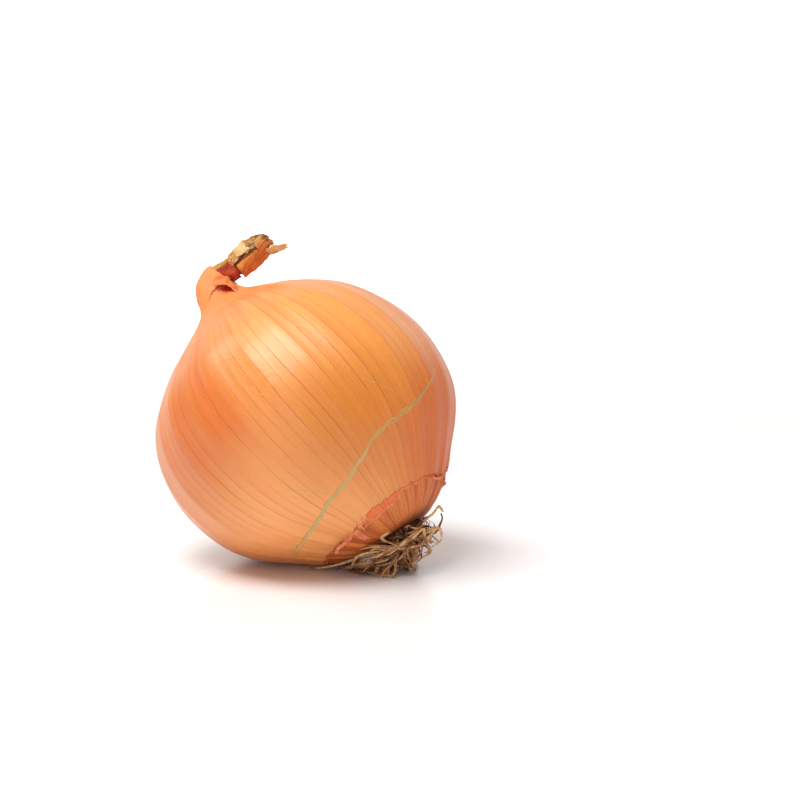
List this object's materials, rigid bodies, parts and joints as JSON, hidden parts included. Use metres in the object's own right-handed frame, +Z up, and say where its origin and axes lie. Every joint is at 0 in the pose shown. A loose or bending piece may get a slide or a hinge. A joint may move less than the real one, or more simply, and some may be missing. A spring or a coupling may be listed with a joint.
{
  "type": "onion",
  "caption": "Yellow onion as picked and dried, lying tipped on its side, with papery skin, a folded dry neck and a tuft of dried roots.",
  "frame": {"origin": "centre of the small flat spot that the onion rests on", "axes": "+Z up from the table; the roots are at +X and -Y, the neck leans over to -X and +Y, and the picture was taken looking along +Y"},
  "size_m": [0.0755, 0.0756, 0.0818],
  "materials": {
    "papery_skin": "thin satin skin, orange-brown, with fine veins from root to neck",
    "dried_leaf": "dry, matt and papery",
    "dried_root": "dry, matt fibre"
  },
  "bodies": {
    "root": {"bulb": "papery_skin", "neck_stub": "dried_leaf", "root_tuft": "dried_root"}
  },
  "joints": []
}
